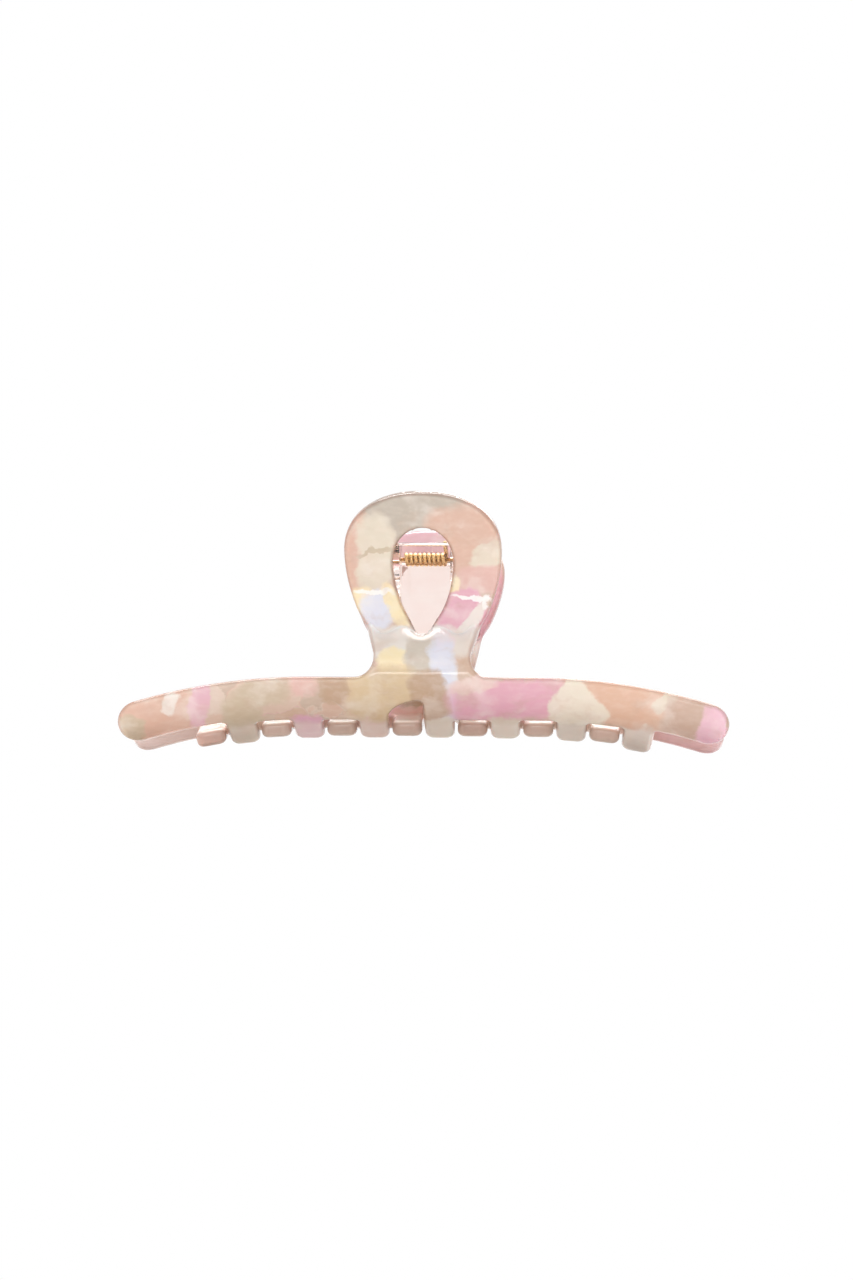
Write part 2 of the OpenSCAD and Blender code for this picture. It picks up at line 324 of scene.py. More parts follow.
def drop_loose_points(mesh):
    bm = bmesh.new()
    bm.from_mesh(mesh)
    bmesh.ops.delete(bm, geom=[v for v in bm.verts if not v.link_faces], context="VERTS")
    bm.to_mesh(mesh)
    bm.free()


def mark_sheet(piece, verts, rims):
    """Mark how near each point is to a cut edge, the teeth and the fold. The jaws' material reads it for
    its painted shade at the edges, painted light in the teeth and painted highlights at the fold.
    """
    tree = point_tree(np.vstack(rims))
    heights = [v[1] for v in verts]
    mark(piece, "rim", [1 - tree.find((v[0], v[1], 0))[2] / RIM_DEPTH for v in verts] * 2)
    mark(piece, "comb", [(COMB_START - s) / COMB_FADE for s in heights] * 2)
    mark(piece, "fold", [math.exp(-((s - FOLD_HIGHLIGHT_LINE) / FOLD_HIGHLIGHT_HALF) ** 2) for s in heights] * 2)
    mark(piece, "stretch", [math.exp(-((s - PAINTED_SHEEN_LINE) / PAINTED_SHEEN_HALF) ** 2) for s in heights] * 2)


def mark(piece, name, values):
    """Store a value from 0 to 1 at each point of a mesh, for its material."""
    layer = piece.data.attributes.new(name, "FLOAT", "POINT")
    layer.data.foreach_set("value", [min(1.0, max(0.0, v)) for v in values])


# ---------- jaws ----------

ARM_TOP = WIDEST_Z - 1.3
S_ARM_TOP = along(ARM_TOP)
S_GAP = -CURL_R * math.radians(66)
S_ARM_LOW = -CURL_R * math.radians(60)
NECK_HALF, NECK_FILLET = 10.3, 4.0
NECK_TOP = ARM_TOP + NECK_FILLET
LOOP_HALF, CROWN = 17, 11.8
LOOP_WIDEST = LOOP_TOP - CROWN
FLARE, CROWN_POWER = 1.4, 2 / 2.2
# The middle of the sheet peaks this far under the loop's top, because the sheet leans.
MID_DROP = 0.5
WINDOW_HALF, WINDOW_HEIGHT, WINDOW_MARGIN = 6.5, 22.9, 7.2
ARCH_RISE = 4.9
TIP_ROUND, ROOT_ROUND = 2.0, 0.7
TIP_TAPER = 0.15
MIDDLE_REACH, TIP_CURVE_R = 2.4, 860
EDGE_ROUND = 1.15


def tooth_place(i):
    return PITCH * (i - (TEETH - 1) / 2) + PITCH / 4


def tooth_tip(place):
    """Distance along the profile at which a tooth ends."""
    reach = MIDDLE_REACH + TIP_CURVE_R - math.sqrt(TIP_CURVE_R ** 2 - place ** 2)
    run = BULGE - CURL_R * (1 - math.cos(math.radians(CURL_TURN))) + reach
    return S_CURL - run / math.sin(math.radians(CURL_TURN))


def side_half(z):
    """Half width of the neck and the loop's lower part, at a height."""
    t = (z - NECK_TOP) / (LOOP_WIDEST - NECK_TOP)
    return NECK_HALF + (LOOP_HALF - NECK_HALF) * math.sin(math.pi / 2 * t) ** FLARE


def handle_side():
    """Right side of the loop from its top down to the neck, as pattern points."""
    points = []
    for k in range(19, 0, -1):
        a = math.pi / 2 * k / 20
        z = LOOP_WIDEST + (CROWN - MID_DROP) * math.sin(a) ** CROWN_POWER
        points.append((LOOP_HALF * math.cos(a) ** CROWN_POWER, along(z)))
    for k in range(24, 0, -1):
        z = NECK_TOP + (LOOP_WIDEST - NECK_TOP) * k / 24
        points.append((side_half(z), along(z)))
    return points


def comb_edge():
    """The toothed lower edge, from right to left."""
    comb = []
    half = TOOTH_WIDTH / 2
    for i in reversed(range(TEETH)):
        place, tip = tooth_place(i), tooth_tip(tooth_place(i))
        root_right = S_ARM_LOW if i == TEETH - 1 else S_GAP
        root_left = S_ARM_LOW if i == 0 else S_GAP
        comb.append((place + half, root_right, ROOT_ROUND))
        comb.append((place + half - TIP_TAPER, tip, TIP_ROUND))
        comb.append((place - half + TIP_TAPER, tip, TIP_ROUND))
        if i == (TEETH - 1) // 2:
            comb += arch(place - half, place - half - (PITCH - TOOTH_WIDTH))
        else:
            comb.append((place - half, root_left, ROOT_ROUND))
    return comb


def jaw_outline():
    """Corners of the flat pattern, clockwise from the right of the loop's top."""
    side = handle_side()
    end = STRAIGHT + ARM_R * math.asin((HALF_LENGTH - STRAIGHT) / (DROOP_R - 6))
    end_round = (S_ARM_TOP - S_ARM_LOW) / 2
    right = [(x, s, 0) for x, s in side]
    right.append((NECK_HALF, S_ARM_TOP, NECK_FILLET))
    right += [(end, S_ARM_TOP, end_round), (end, S_ARM_LOW, end_round)]
    left = [(-end, S_ARM_LOW, end_round), (-end, S_ARM_TOP, end_round)]
    left.append((-NECK_HALF, S_ARM_TOP, NECK_FILLET))
    left += [(-x, s, 0) for x, s in reversed(side)]
    return right + comb_edge() + left


def arch(right, left):
    """Edge of the gap that rises from the tooth on its left to the tooth on its right."""
    width = right - left
    edge = [(right, S_GAP + ARCH_RISE, 0.9)]
    for k in range(2, 10):
        a = math.pi / 2 * k / 10
        edge.append((right - width * math.sin(a), S_GAP + ARCH_RISE * math.cos(a) ** 0.8, 0))
    return edge


def window_outline():
    """The teardrop, pointed at its foot and half round at its top."""
    shoulder = WINDOW_HEIGHT - WINDOW_HALF
    foot = LOOP_TOP - WINDOW_MARGIN - WINDOW_HEIGHT
    right = []
    for k in range(1, 19):
        t = k / 18
        right.append((WINDOW_HALF * (1 - (1 - t) ** 2), foot + shoulder * t))
    for k in range(1, 16):
        a = math.pi / 2 * k / 15
        right.append((WINDOW_HALF * math.cos(a), foot + shoulder + WINDOW_HALF * math.sin(a)))
    outline = [(0, foot)] + right + [(-x, z) for x, z in reversed(right[:-1])]
    return resample(np.array([(x, along(z)) for x, z in outline]), 0.4)


def sheet_rows():
    """Distances along the profile for the mesh's rows, close together round the fold."""
    fold_low, fold_high = S_SHOULDER - 1, S_FOLD + 1.5
    rows = list(np.arange(S_CURL - 12, fold_low, MESH_STEP))
    rows += list(np.arange(fold_low, fold_high, FOLD_STEP))
    return rows + list(np.arange(fold_high, S_TOP, MESH_STEP))


def turned_about_z(p, turned):
    return Vector((-p.x, -p.y, p.z)) if turned else p


def jaw(name, turned):
    def place(x, s, out):
        return turned_about_z(on_jaw(x, s, out), turned)

    outline = rounded(jaw_outline(), 0.4)
    columns = np.arange(-70, 70, MESH_STEP)
    return slab(name, outline, [window_outline()], SHEET / 2, EDGE_ROUND, place, sheet_rows(), columns)


# ---------- hinge ----------

PLATE_WIDTH, PLATE_THICK, PLATE_UP, PLATE_LOW_LEAN = 24, 2.0, 3.1, 10.4
PLATE_APRON = 2.6
LUG_LOW_LEAN = 17.6
SPRING_BAY, LUG_THICK, LUG_GAP = 10.8, 3.0, 0.2
BOSS_R, PIN_D, PIN_CLEARANCE = 2.6, 0.8, 0.05
HEAD_D, HEAD_H = 2.0, 0.7
WIRE_D, COIL_R, TURNS, COIL_PITCH = 0.9, 1.1, 9, 1.0
LEG_RISE, LEG_CLEARANCE = 3, 0.1
S_PLATE_LOW = S_FOLD + HANDLE_R * math.radians(PLATE_LOW_LEAN - WAIST_LEAN)
S_LUG_LOW = S_FOLD + HANDLE_R * math.radians(LUG_LOW_LEAN - WAIST_LEAN)
PLATE_INNER = SHEET / 2 + PLATE_THICK
INNER_LUG = SPRING_BAY / 2
OUTER_LUG = INNER_LUG + LUG_THICK + LUG_GAP


def hinge_plate(name, turned):
    """A clear plate on the handle's inner face, straight behind the window's point."""
    mid = SHEET / 2 + PLATE_THICK / 2

    def place(x, s, out):
        point, h = profile(max(s, S_PLATE_LOW))
        point = point + min(0, s - S_PLATE_LOW) * facing(h + 90) + (out - mid) * facing(h)
        return turned_about_z(Vector((x, -point[0], point[1])) * MM, turned)

    w, r = PLATE_WIDTH / 2, 0.5
    top = S_HANDLE + PLATE_UP
    low = S_PLATE_LOW - PLATE_APRON
    corners = [(-w, low, r), (w, low, r), (w, top, r), (-w, top, r)]
    rows = np.arange(low, top, MESH_STEP)
    columns = np.arange(-w, w, MESH_STEP)
    return slab(name, rounded(corners, 0.4), [], PLATE_THICK / 2, 0.22, place, rows, columns)


def tangent(foot, side):
    """Angle at which a line from a point meets the boss, on one side of it."""
    d = np.array(foot) - np.array([0, PIN_Z])
    return math.atan2(d[1], d[0]) + side * math.acos(BOSS_R / np.linalg.norm(d))


def lug_outline():
    feet = []
    for k in range(13):
        s = S_LUG_LOW + (S_HANDLE + PLATE_UP - S_LUG_LOW) * k / 12
        point, h = profile(s)
        feet.append(point - PLATE_INNER * facing(h))
    low, high = tangent(feet[0], -1), tangent(feet[-1], 1)
    if low < 0:
        low += 2 * math.pi
    angles = [high + (low - high) * k / 24 for k in range(25)]
    boss = [np.array([BOSS_R * math.cos(a), PIN_Z + BOSS_R * math.sin(a)]) for a in angles]
    return resample(np.array(feet + boss), 0.35)


def lug(name, start, turned):
    """A web on the plate that narrows to a round boss with the pin's bore."""
    bore_r = PIN_D / 2 + PIN_CLEARANCE
    bore = np.array([(bore_r * math.cos(a), PIN_Z + bore_r * math.sin(a))
                     for a in np.linspace(0, 2 * math.pi, 24, endpoint=False)])
    middle = start + LUG_THICK / 2

    def place(u, v, out):
        return turned_about_z(Vector((middle + out, -u, v)) * MM, turned)

    rows = np.arange(PIN_Z - 12, PIN_Z + 5, LUG_STEP)
    columns = np.arange(-4, 14, LUG_STEP)
    return slab(name, lug_outline(), [bore], LUG_THICK / 2, 0.18, place, rows, columns)


def skin(rings, sides):
    """Faces round a row of rings, and across both its ends."""
    faces = []
    for i in range(rings - 1):
        for k in range(sides):
            n = (k + 1) % sides
            a, b = i * sides, (i + 1) * sides
            faces.append((a + k, a + n, b + n, b + k))
    last = range((rings - 1) * sides, rings * sides)
    return faces + [tuple(range(sides)), tuple(reversed(last))]


def lathe(name, stations, segments=40):
    """A round piece along the pin's axis from (x, radius) stations."""
    vertices = []
    for x, r in stations:
        for k in range(segments):
            a = 2 * math.pi * k / segments
            vertices.append(Vector((x, r * math.cos(a), PIN_Z + r * math.sin(a))) * MM)
    return mesh_object(name, vertices, skin(len(stations), segments))


def pin():
    """The hinge pin: a domed head at one end and a smaller peened one at the other."""
    span = OUTER_LUG + LUG_THICK + PIN_CLEARANCE

    def head(side, diameter):
        dome = [(span + HEAD_H * math.sin(a), diameter / 2 * math.cos(a) ** 0.7)
                for a in np.radians([0, 12, 25, 38, 50, 62, 74, 84])]
        return [(side * x, r) for x, r in [(span, PIN_D / 2), (span, diameter / 2)] + dome[1:]]

    stations = list(reversed(head(-1, HEAD_D))) + head(1, 0.8 * HEAD_D)
    return lathe("pin", stations)


def spring_leg():
    """One leg from its tip, against a hinge plate, to the coil, as (y, z) points."""
    rise = math.radians(LEG_RISE)
    lean = facing(-PAD_LEAN)
    foot = HANDLE_C - HANDLE_R * lean
    root = np.array([-COIL_R * math.sin(rise), PIN_Z + COIL_R * math.cos(rise)])
    away = np.array([math.cos(rise), math.sin(rise)])
    length = (foot @ lean - PLATE_INNER - WIRE_D / 2 - LEG_CLEARANCE - root @ lean) / (away @ lean)
    tip = root + length * away
    return [root + (tip - root) * (1 - k / 10) for k in range(10)]


def wire_path():
    """The wire's centre line: the rear leg, the coil and the front leg."""
    half = TURNS * COIL_PITCH / 2
    rise = math.radians(LEG_RISE)
    sweep = 2 * math.pi * TURNS - 2 * rise
    coil = []
    for k in range(40 * TURNS + 1):
        t = k / (40 * TURNS)
        a = rise + sweep * t
        coil.append(Vector((half * (2 * t - 1), -COIL_R * math.sin(a), PIN_Z + COIL_R * math.cos(a))))
    leg = spring_leg()
    rear = [Vector((-half, p[0], p[1])) for p in leg]
    front = [Vector((half, -p[0], p[1])) for p in reversed(leg)]
    return rear + coil + front


def spring():
    """One wire of round section, with hemispherical ends."""
    path = wire_path()
    sides, cap = 14, 4
    vertices, rings = [], []
    count = len(path)
    for i, p in enumerate(path):
        t = (path[min(i + 1, count - 1)] - path[max(i - 1, 0)]).normalized()
        across = t.cross(Vector((1, 0, 0))).normalized()
        over = t.cross(across)
        rings.append((p, t, across, over, WIRE_D / 2))
    first, last = rings[0], rings[-1]
    ends = []
    for k in range(1, cap):
        a = math.pi / 2 * k / cap
        ends.append((0.3 * WIRE_D * math.sin(a), WIRE_D / 2 * math.cos(a) ** 0.6))
    head = [(first[0] - first[1] * d, *first[1:4], r) for d, r in reversed(ends)]
    tail = [(last[0] + last[1] * d, *last[1:4], r) for d, r in ends]
    rings = head + rings + tail
    for p, t, across, over, r in rings:
        for k in range(sides):
            a = 2 * math.pi * k / sides
            vertices.append((p + r * (across * math.cos(a) + over * math.sin(a))) * MM)
    return mesh_object("spring_wire", vertices, skin(len(rings), sides))


# ---------- materials ----------

def srgb(r, g, b):
    """Linear colour of an sRGB colour given from 0 to 255."""
    def channel(c):
        c /= 255
        return c / 12.92 if c <= 0.04045 else ((c + 0.055) / 1.055) ** 2.4
    return (channel(r), channel(g), channel(b), 1)


class Nodes:
    """Short calls for building a node tree."""

    def __init__(self, name):
        self.material = bpy.data.materials.new(name)
        self.material.use_nodes = True
        self.tree = self.material.node_tree
        self.shader = self.tree.nodes["Principled BSDF"]

    def add(self, kind, **values):
        node = self.tree.nodes.new(kind)
        for key, value in values.items():
            setattr(node, key, value)
        return node

    def link(self, a, b):
        self.tree.links.new(a, b)

    def feed(self, socket, value):
        if isinstance(value, bpy.types.NodeSocket):
            self.link(value, socket)
        else:
            socket.default_value = value

    def vector(self, operation, a, b=None):
        node = self.add("ShaderNodeVectorMath", operation=operation)
        self.feed(node.inputs[0], a)
        if b is not None:
            self.feed(node.inputs[1], b)
        return node.outputs["Value" if operation in ("DOT_PRODUCT", "LENGTH") else "Vector"]

    def maths(self, operation, a, b=0.0):
        node = self.add("ShaderNodeMath", operation=operation)
        self.feed(node.inputs[0], a)
        self.feed(node.inputs[1], b)
        return node.outputs[0]

    def remap(self, value, low, high, to_low=0.0, to_high=1.0):
        node = self.add("ShaderNodeMapRange", interpolation_type="SMOOTHSTEP")
        for socket, v in zip(node.inputs[:5], (value, low, high, to_low, to_high)):
            self.feed(socket, v)
        return node.outputs[0]

    def mix(self, factor, a, b, blend="MIX"):
        node = self.add("ShaderNodeMix", data_type="RGBA", blend_type=blend)
        self.feed(node.inputs[0], factor)
        self.feed(node.inputs[6], a)
        self.feed(node.inputs[7], b)
        return node.outputs[2]

    def noise(self, vector, scale, detail=2.0, roughness=0.5):
        node = self.add("ShaderNodeTexNoise")
        self.feed(node.inputs["Vector"], vector)
        node.inputs["Scale"].default_value = scale
        node.inputs["Detail"].default_value = detail
        node.inputs["Roughness"].default_value = roughness
        return node


TAUPE, PEACH, TAN = (194, 183, 169), (222, 184, 164), (205, 174, 148)
CREAM, PINK, LILAC = (229, 218, 199), (230, 174, 192), (227, 181, 194)
YELLOW, BLUISH, GREIGE = (250, 231, 188), (229, 230, 242), (210, 198, 183)
ROSE, GOLDEN, BROWN = (228, 188, 178), (222, 198, 160), (198, 166, 138)
OLIVE, PALE = (206, 187, 161), (238, 230, 222)

# Chips of the front jaw's sheet: place across and up, half sizes, turn in degrees, colour
# and softness. They are laid square on to a line that rises towards the clip by PATTERN_LOOK.
FRONT_CHIPS = [
    (0, 28, 15, 5.5, 0, TAUPE, 0.5), (-15.5, 19, 2.6, 8.5, -6, PEACH, 0.4),
    (-10, 18.5, 3.6, 7, 0, CREAM, 0.35), (-10.5, 19, 3.6, 0.35, 8, OLIVE, 0.6),
    (9.5, 20.5, 7.5, 7.5, 12, PEACH, 0.3), (14, 18, 3.4, 2.4, 18, CREAM, 0.25),
    (12, 12.8, 4, 2.6, 5, ROSE, 0.5), (-13.2, 8.6, 2.2, 2.6, 10, YELLOW, 0.4),
    (-9.8, 6.6, 3.5, 3.8, 25, BLUISH, 0.3), (-5.9, 7.4, 1.5, 4.4, 24, YELLOW, 0.4),
    (6, 11, 1.5, 2.2, 10, YELLOW, 0.5), (8, 6.2, 5, 4.2, 20, PINK, 0.2),
    (10.8, 4.7, 0.9, 3.6, -38, PALE, 0.6), (-1, -0.6, 10.5, 2.8, 0, PALE, 0.7),
    (3.9, -0.8, 2.4, 2.6, 0, (242, 216, 224), 0.6), (-6, -4.7, 3.1, 2.8, 4, YELLOW, 0.25),
    (-0.2, -4.6, 2.9, 5.4, 0, GREIGE, 0.3), (5.2, -8.6, 2.4, 8.4, 9, BLUISH, 0.45),
    (-8.4, -11.6, 7, 5, 0, GOLDEN, 0.5), (1.6, -12.2, 4, 5, 16, BROWN, 0.25),
    (-18.5, -10.6, 2.7, 2.6, 20, BROWN, 0.5), (-29.6, -9.8, 6.2, 2.3, 4, ROSE, 0.5),
    (-34, -11.5, 5, 2.4, 14, OLIVE, 0.6), (-56.7, -17, 7.6, 5, 15, PEACH, 0.5),
    (-47.7, -14, 1.9, 4.9, -8, LILAC, 0.35), (-53.8, -13.8, 1.4, 1.9, -14, PALE, 0.5),
    (-62, -19.8, 2, 2.5, 0, OLIVE, 0.5), (-38.4, -18, 3.9, 5.4, 0, OLIVE, 0.4),
    (-24.7, -19.6, 3.5, 2.6, 0, (230, 178, 200), 0.3), (-10.9, -20, 3.5, 2.2, 0, ROSE, 0.5),
    (18.3, -13, 11, 3.9, 6, PINK, 0.35), (11.4, -9.8, 4.6, 1.5, 8, (236, 208, 200), 0.6),
    (45, -12.8, 9.5, 5.4, -14, (226, 187, 162), 0.3), (33, -15, 5, 5.6, 42, (236, 227, 210), 0.12),
    (51.8, -13, 3, 1.2, 40, CREAM, 0.4), (56.6, -17.6, 5, 4.6, -14, (205, 176, 158), 0.35),
    (61.9, -18.6, 2.9, 4.6, -8, (236, 194, 208), 0.2), (17.7, -19.6, 3.4, 2.6, 0, CREAM, 0.4),
    (45.8, -22.6, 3.6, 3.4, 0, PALE, 0.4), (3.4, -19.4, 3.4, 2, 0, CREAM, 0.5),
    # The last three chips, thin and near white, are painted highlights: the white lines that the loop
    # reflects.
    (31.6, -21.5, 3.6, 3, 0, GREIGE, 0.5), (-10.7, 10.5, 3.8, 0.4, -2, (252, 249, 244), 0.5),
    (10.4, 8.9, 3.6, 0.4, -8, (252, 248, 246), 0.5), (13.4, 7.8, 0.4, 1.3, -10, (252, 248, 246), 0.5),
]

# The rear jaw's chips that show past the front jaw and through its window.
REAR_CHIPS = [
    # The first chip, near white, is painted light: it washes the rear arm's left end out to the white
    # backdrop.
    (-56, -20, 10.5, 6, 0, (250, 246, 242), 0.3),
    (-45.6, -19.5, 4, 4, 0, (240, 200, 182), 0.3), (-32.3, -20, 4.5, 5, 0, (246, 238, 226), 0.4),
    (-32, -16.6, 4, 1, 0, (244, 196, 196), 0.6), (-17.6, -19, 4, 4, 0, (232, 222, 206), 0.4),
    (-17.6, -16, 3.6, 0.9, 0, (240, 192, 178), 0.6), (-3.2, -17, 4, 1.6, 0, (240, 190, 178), 0.5),
    (-3.2, -20, 4, 2.6, 0, (238, 222, 208), 0.4), (10.9, -18.6, 4, 4, 0, (236, 216, 198), 0.4),
    (25.4, -16.6, 4, 1.5, 0, (240, 172, 200), 0.4), (25.4, -20, 4, 2.4, 0, (232, 222, 202), 0.4),
    (39.1, -18.6, 4.4, 4, 0, (240, 226, 212), 0.4), (41, -17.6, 2.4, 1, 0, (240, 194, 182), 0.6),
    (56, -20, 10, 5, -10, (246, 218, 224), 0.4), (0, 22, 9, 3, 0, (232, 186, 196), 0.4),
    (14.5, 4, 3.6, 12, 12, (236, 170, 186), 0.4),
]
PATTERN_LOOK = math.radians(11)
PATTERN_ORIGIN = 24.8


def lay_chips(n, colour, place, chips, facing_y):
    """Lay chips over a colour, seen along Y from the front (1) or from the back (-1)."""
    across = n.vector("DOT_PRODUCT", place, (facing_y / MM, 0, 0))
    look = (0, -facing_y * math.sin(PATTERN_LOOK) / MM, math.cos(PATTERN_LOOK) / MM)
    upward = n.vector("DOT_PRODUCT", place, look)
    upward = n.maths("SUBTRACT", upward, PATTERN_ORIGIN * math.cos(PATTERN_LOOK))
    pattern = n.add("ShaderNodeCombineXYZ")
    n.link(across, pattern.inputs[0])
    n.link(upward, pattern.inputs[1])
    for x, y, a, b, turn, tone, soft in chips:
        chip = n.add("ShaderNodeMapping", vector_type="TEXTURE")
        n.link(pattern.outputs[0], chip.inputs["Vector"])
        chip.inputs["Location"].default_value = (x, y, 0)
        chip.inputs["Rotation"].default_value = (0, 0, math.radians(turn))
        chip.inputs["Scale"].default_value = (a, b, 1)
        square = n.vector("MULTIPLY", chip.outputs[0], chip.outputs[0])
        fourth = n.vector("MULTIPLY", square, square)
        reach = n.vector("DOT_PRODUCT", fourth, (1, 1, 0))
        inside_chip = n.remap(reach, 1 - 1.6 * min(soft, 0.55), 1 + 5 * soft, 0.92, 0.0)
        colour = n.mix(inside_chip, colour, srgb(*tone))
    return colour


def mixed_ground(n, place, seed):
    """Small chips of mixed colours, which show between the larger ones."""
    cells = n.add("ShaderNodeTexVoronoi", feature="SMOOTH_F1")
    n.feed(cells.inputs["Vector"], n.vector("ADD", place, (seed, seed * 0.7, -seed)))
    cells.inputs["Scale"].default_value = 105
    cells.inputs["Smoothness"].default_value = 0.12
    pick = n.add("ShaderNodeSeparateColor")
    n.link(cells.outputs["Color"], pick.inputs[0])
    ramp = n.add("ShaderNodeValToRGB")
    n.link(pick.outputs[0], ramp.inputs[0])
    stops = [PEACH, TAN, GREIGE, (232, 176, 196), CREAM, ROSE, TAUPE, PALE, (228, 190, 172)]
    ramp.color_ramp.elements.remove(ramp.color_ramp.elements[1])
    ramp.color_ramp.elements[0].position = 0
    ramp.color_ramp.elements[0].color = srgb(*stops[0])
    for i, colour in enumerate(stops[1:], 1):
        element = ramp.color_ramp.elements.new(i / len(stops))
        element.color = srgb(*colour)
    return n.mix(0.6, ramp.outputs[0], srgb(214, 184, 162))


def cloud_pearl(n, colour, place, place_moved):
    """Pearl clouds, deeper patches and fine streaks inside the sheet."""
    stretched = n.vector("MULTIPLY", place_moved, (1.0, 1.4, 1.4))
    clouds = n.noise(stretched, 130, 3, 0.5).outputs[0]
    colour = n.mix(n.remap(clouds, 0.48, 0.75, 0.0, 0.42), colour, srgb(246, 238, 230))
    depths = n.noise(n.vector("ADD", stretched, (0.2, 0.4, 0.1)), 170, 3, 0.5).outputs[0]
    colour = n.mix(n.remap(depths, 0.5, 0.75, 0.0, 0.35), colour, srgb(204, 172, 150))
    flecks = n.noise(n.vector("MULTIPLY", place, (0.8, 1.6, 1.6)), 520, 2, 0.5).outputs[0]
    return n.mix(n.remap(flecks, 0.4, 0.75, 0.0, 0.12), colour, srgb(250, 240, 228))


def marked(n, name):
    """A value that mark stored at the mesh's points."""
    return n.add("ShaderNodeAttribute", attribute_name=name).outputs["Fac"]


def paint_light_and_shade_on_sheet(n, colour, place):
    """Painted highlights along the fold and just under it, painted light that makes the teeth paler, and
    painted shade near cut edges.
    """
    # Painted highlight: a white line along the fold, and a fainter painted sheen just under it, where
    # the shoulder reflects the lamps.
    stretch = n.maths("MULTIPLY", marked(n, "stretch"), 0.55)
    colour = n.mix(stretch, colour, srgb(248, 243, 238))
    patchy = n.remap(n.noise(place, 300, 2).outputs[0], 0.3, 0.6, 0.7, 1.0)
    fold = n.maths("MULTIPLY", marked(n, "fold"), patchy)
    colour = n.mix(fold, colour, srgb(255, 253, 250))
    # Painted light: the teeth are painted paler, standing in for the light that comes into them from all
    # sides.
    comb = n.maths("MULTIPLY", marked(n, "comb"), 0.5)
    colour = n.mix(comb, colour, srgb(255, 246, 236))
    # Painted shade: near a cut edge the colour is painted deeper, for the dark line along the rounded
    # edges where one looks through more of the sheet.
    painted_edge_shade = n.remap(marked(n, "rim"), 0.1, 1.0, 0.0, 0.75)
    return n.mix(painted_edge_shade, colour, srgb(206, 180, 172), "MULTIPLY")


def polish(n, place):
    """A tumbled gloss with faint waves, over light that scatters inside the sheet."""
    gloss = n.noise(place, 900, 2).outputs[0]
    n.link(n.remap(gloss, 0.3, 0.7, 0.07, 0.13), n.shader.inputs["Roughness"])
    n.shader.inputs["IOR"].default_value = 1.49
    n.shader.inputs["Subsurface Weight"].default_value = 0.35
    n.shader.inputs["Subsurface Radius"].default_value = (1.0, 0.75, 0.65)
    n.shader.inputs["Subsurface Scale"].default_value = 0.0025
    n.shader.inputs["Coat Weight"].default_value = 0.4
    n.shader.inputs["Coat Roughness"].default_value = 0.03
    bump = n.add("ShaderNodeBump")
    bump.inputs["Strength"].default_value = 0.05
    bump.inputs["Distance"].default_value = 0.0006
    n.link(n.noise(place, 140, 2).outputs[0], bump.inputs["Height"])
    n.link(bump.outputs[0], n.shader.inputs["Normal"])


def pearl_acetate(name, layers, seed):
    """Mottled pearl acetate: pressed chips of coloured sheet under a clear gloss."""
    n = Nodes(name)
    place = n.add("ShaderNodeTexCoord").outputs["Object"]
    wobble = n.noise(place, 210, 4, 0.6).outputs["Color"]
    shift = n.vector("MULTIPLY", n.vector("SUBTRACT", wobble, (0.5, 0.5, 0.5)), (0.0042, 0.0042, 0.0042))
    place_moved = n.vector("ADD", place, shift)
    colour = mixed_ground(n, place_moved, seed)
    for chips, facing_y in layers:
        colour = lay_chips(n, colour, place_moved, chips, facing_y)
    colour = cloud_pearl(n, colour, place, place_moved)
    colour = paint_light_and_shade_on_sheet(n, colour, place)
    n.link(colour, n.shader.inputs["Base Color"])
    polish(n, place)
    return n.material


def clear_acetate():
    """Clear acetate with a faint warm tint and polishing haze."""
    n = Nodes("clear_acetate")
    place = n.add("ShaderNodeTexCoord").outputs["Object"]
    tint = n.noise(place, 160, 2).outputs[0]
    colour = n.mix(n.remap(tint, 0.3, 0.7), srgb(251, 239, 235), srgb(253, 245, 242))
    n.link(colour, n.shader.inputs["Base Color"])
    haze = n.noise(place, 700, 3).outputs[0]
    n.link(n.remap(haze, 0.35, 0.75, 0.02, 0.08), n.shader.inputs["Roughness"])
    n.shader.inputs["Transmission Weight"].default_value = 1.0
    n.shader.inputs["IOR"].default_value = 1.3
    return n.material


def gold():
    """Gold plated wire, a little worn and darker in places."""
    n = Nodes("gold_wire")
    place = n.add("ShaderNodeTexCoord").outputs["Object"]
    wear = n.noise(place, 1800, 3).outputs[0]
    colour = n.mix(n.remap(wear, 0.35, 0.7), srgb(222, 186, 126), srgb(240, 214, 160))
    n.link(colour, n.shader.inputs["Base Color"])
    n.link(n.remap(wear, 0.3, 0.7, 0.16, 0.3), n.shader.inputs["Roughness"])
    n.shader.inputs["Metallic"].default_value = 1.0
    return n.material


def finish_piece(piece, body, node, material):
    piece.data.materials.append(material)
    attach(piece, body)
    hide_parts(node)


# ---------- the clip ----------

front_pearl = pearl_acetate("pearl_acetate_front", [(FRONT_CHIPS, 1)], 0.0)
rear_pearl = pearl_acetate("pearl_acetate_rear", [(FRONT_CHIPS, -1), (REAR_CHIPS, 1)], 0.31)
clear = clear_acetate()
metal = gold()

for side, turned, pearl in (("front", False, front_pearl), ("rear", True, rear_pearl)):
    body = side + "_half"
    finish_piece(jaw(side + "_jaw_sheet", turned), body, side + "_jaw", pearl)
    plate = hinge_plate(side + "_plate", turned)
    finish_piece(plate, body, side + "_hinge_plate", clear)
    inner = lug(side + "_lug_inner", -INNER_LUG - LUG_THICK, turned)
    finish_piece(inner, body, side + "_inner_lug", clear)
    outer = lug(side + "_lug_outer", OUTER_LUG, turned)
    finish_piece(outer, body, side + "_outer_lug", clear)

finish_piece(pin(), "rear_half", "hinge_pin", metal)

coil = spring()
coil.data.materials.append(metal)
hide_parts("torsion_spring")
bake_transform(coil)


# ---------- stage, light and camera ----------

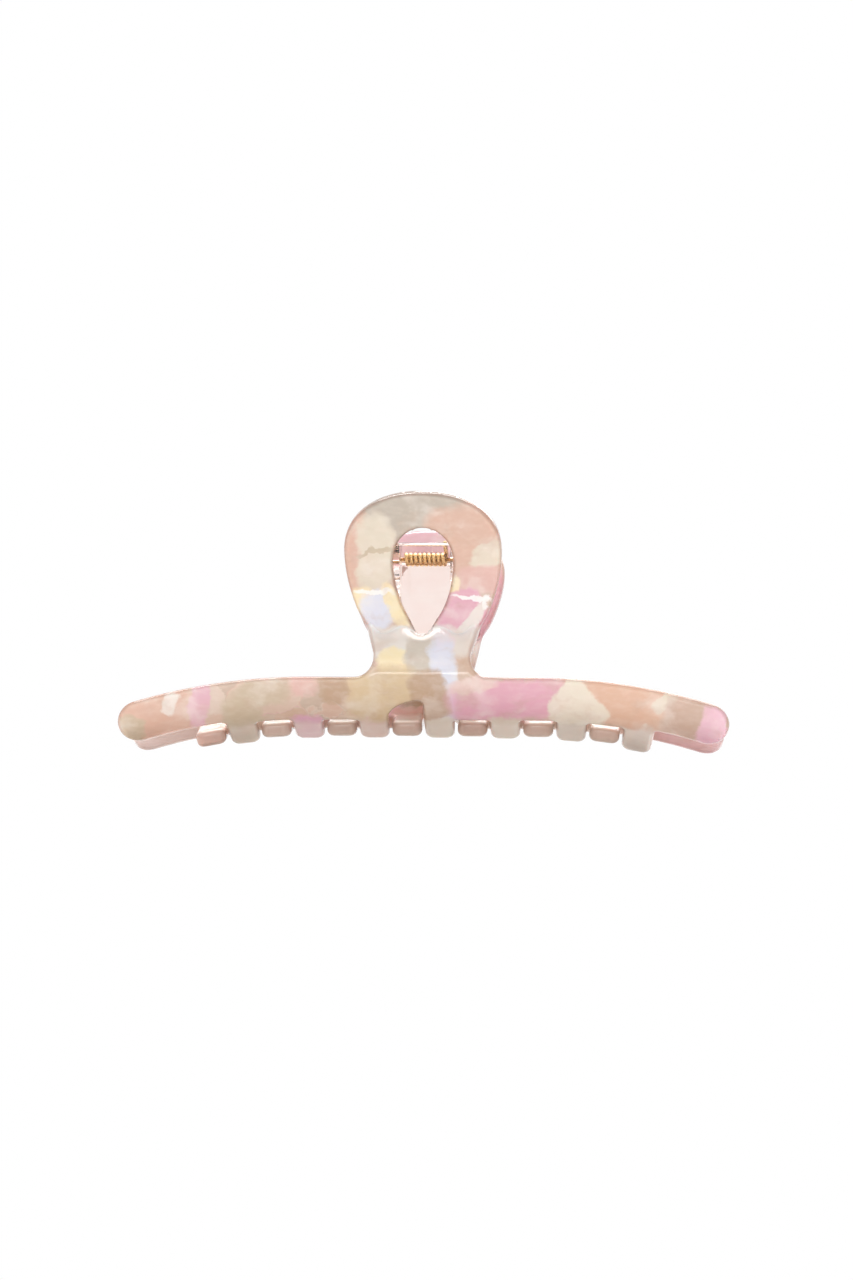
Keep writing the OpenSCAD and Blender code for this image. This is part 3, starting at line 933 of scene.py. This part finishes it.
def white_where_seen(tree, plain):
    """1 for the rays that show the background, else the plain level."""
    rays = tree.nodes.new("ShaderNodeLightPath")
    seen = rays.outputs["Is Camera Ray"]
    for name in ("Is Glossy Ray", "Is Transmission Ray"):
        both = tree.nodes.new("ShaderNodeMath")
        both.operation = "MAXIMUM"
        tree.links.new(seen, both.inputs[0])
        tree.links.new(rays.outputs[name], both.inputs[1])
        seen = both.outputs[0]
    level = tree.nodes.new("ShaderNodeMapRange")
    tree.links.new(seen, level.inputs[0])
    level.inputs[3].default_value = plain
    level.inputs[4].default_value = 1.0
    return level.outputs[0]


def world(plain=0.65):
    made = bpy.data.worlds.new("studio")
    made.use_nodes = True
    background = made.node_tree.nodes["Background"]
    background.inputs["Color"].default_value = (1, 1, 1, 1)
    made.node_tree.links.new(white_where_seen(made.node_tree, plain), background.inputs["Strength"])
    bpy.context.scene.world = made


def floor():
    """A pale floor that fades out round the clip. From underneath it lets the view through."""
    size = 0.5
    corners = [(-size, -size, 0), (size, -size, 0), (size, size, 0), (-size, size, 0)]
    mesh = bpy.data.meshes.new("floor")
    mesh.from_pydata(corners, [], [(0, 1, 2, 3)])
    plane = bpy.data.objects.new("floor", mesh)
    bpy.context.scene.collection.objects.link(plane)
    plane.location.z = -0.0002
    n = Nodes("pale_floor")
    n.shader.inputs["Base Color"].default_value = (0.93, 0.93, 0.93, 1)
    n.shader.inputs["Roughness"].default_value = 0.6
    n.shader.inputs["Specular IOR Level"].default_value = 0.1
    through = n.add("ShaderNodeBsdfTransparent")
    choose = n.add("ShaderNodeMixShader")
    far = n.remap(n.vector("LENGTH", n.add("ShaderNodeTexCoord").outputs["Object"]), 0.15, 0.4)
    below = n.add("ShaderNodeNewGeometry").outputs["Backfacing"]
    n.link(n.maths("MAXIMUM", below, far), choose.inputs[0])
    n.link(n.shader.outputs[0], choose.inputs[1])
    n.link(through.outputs[0], choose.inputs[2])
    n.link(choose.outputs[0], n.tree.nodes["Material Output"].inputs["Surface"])
    mesh.materials.append(n.material)


def softbox(name, azimuth, elevation, distance, width, height, watts):
    """A soft rectangular lamp aimed at the clip's middle."""
    data = bpy.data.lights.new(name, "AREA")
    data.shape = "RECTANGLE"
    data.size, data.size_y, data.energy = width, height, watts
    lamp = bpy.data.objects.new(name, data)
    bpy.context.scene.collection.objects.link(lamp)
    lamp.matrix_world = looking(azimuth, elevation, distance, Vector((0, 0, 0.025)))


def looking(azimuth, elevation, distance, target):
    """Placement at an angle round a target, facing it."""
    a, e = math.radians(azimuth), math.radians(elevation)
    back = Vector((math.sin(a) * math.cos(e), -math.cos(a) * math.cos(e), math.sin(e)))
    turn = (-back).to_track_quat("-Z", "Y").to_matrix().to_4x4()
    return Matrix.Translation(target + back * distance) @ turn


CAMERA_ROLL = 0.85


def camera():
    data = bpy.data.cameras.new("camera")
    data.sensor_width = 36
    data.lens = 65.5
    data.clip_start, data.clip_end = 0.01, 50
    made = bpy.data.objects.new("camera", data)
    bpy.context.scene.collection.objects.link(made)
    roll = Matrix.Rotation(math.radians(CAMERA_ROLL), 4, "Z")
    made.matrix_world = looking(3.5, -11, 0.51, Vector((0.0003, 0, 0.0247))) @ roll
    bpy.context.scene.camera = made


world()
floor()
softbox("overhead", 180, 80, 0.8, 0.9, 0.34, 5.0)
softbox("front", -15, 22, 1.2, 0.5, 0.5, 0.8)
softbox("low", 8, 2, 1.2, 1.0, 0.1, 1.3)
softbox("back", 160, 40, 0.9, 0.6, 0.4, 2.0)
camera()
bpy.context.scene.view_settings.view_transform = "Standard"
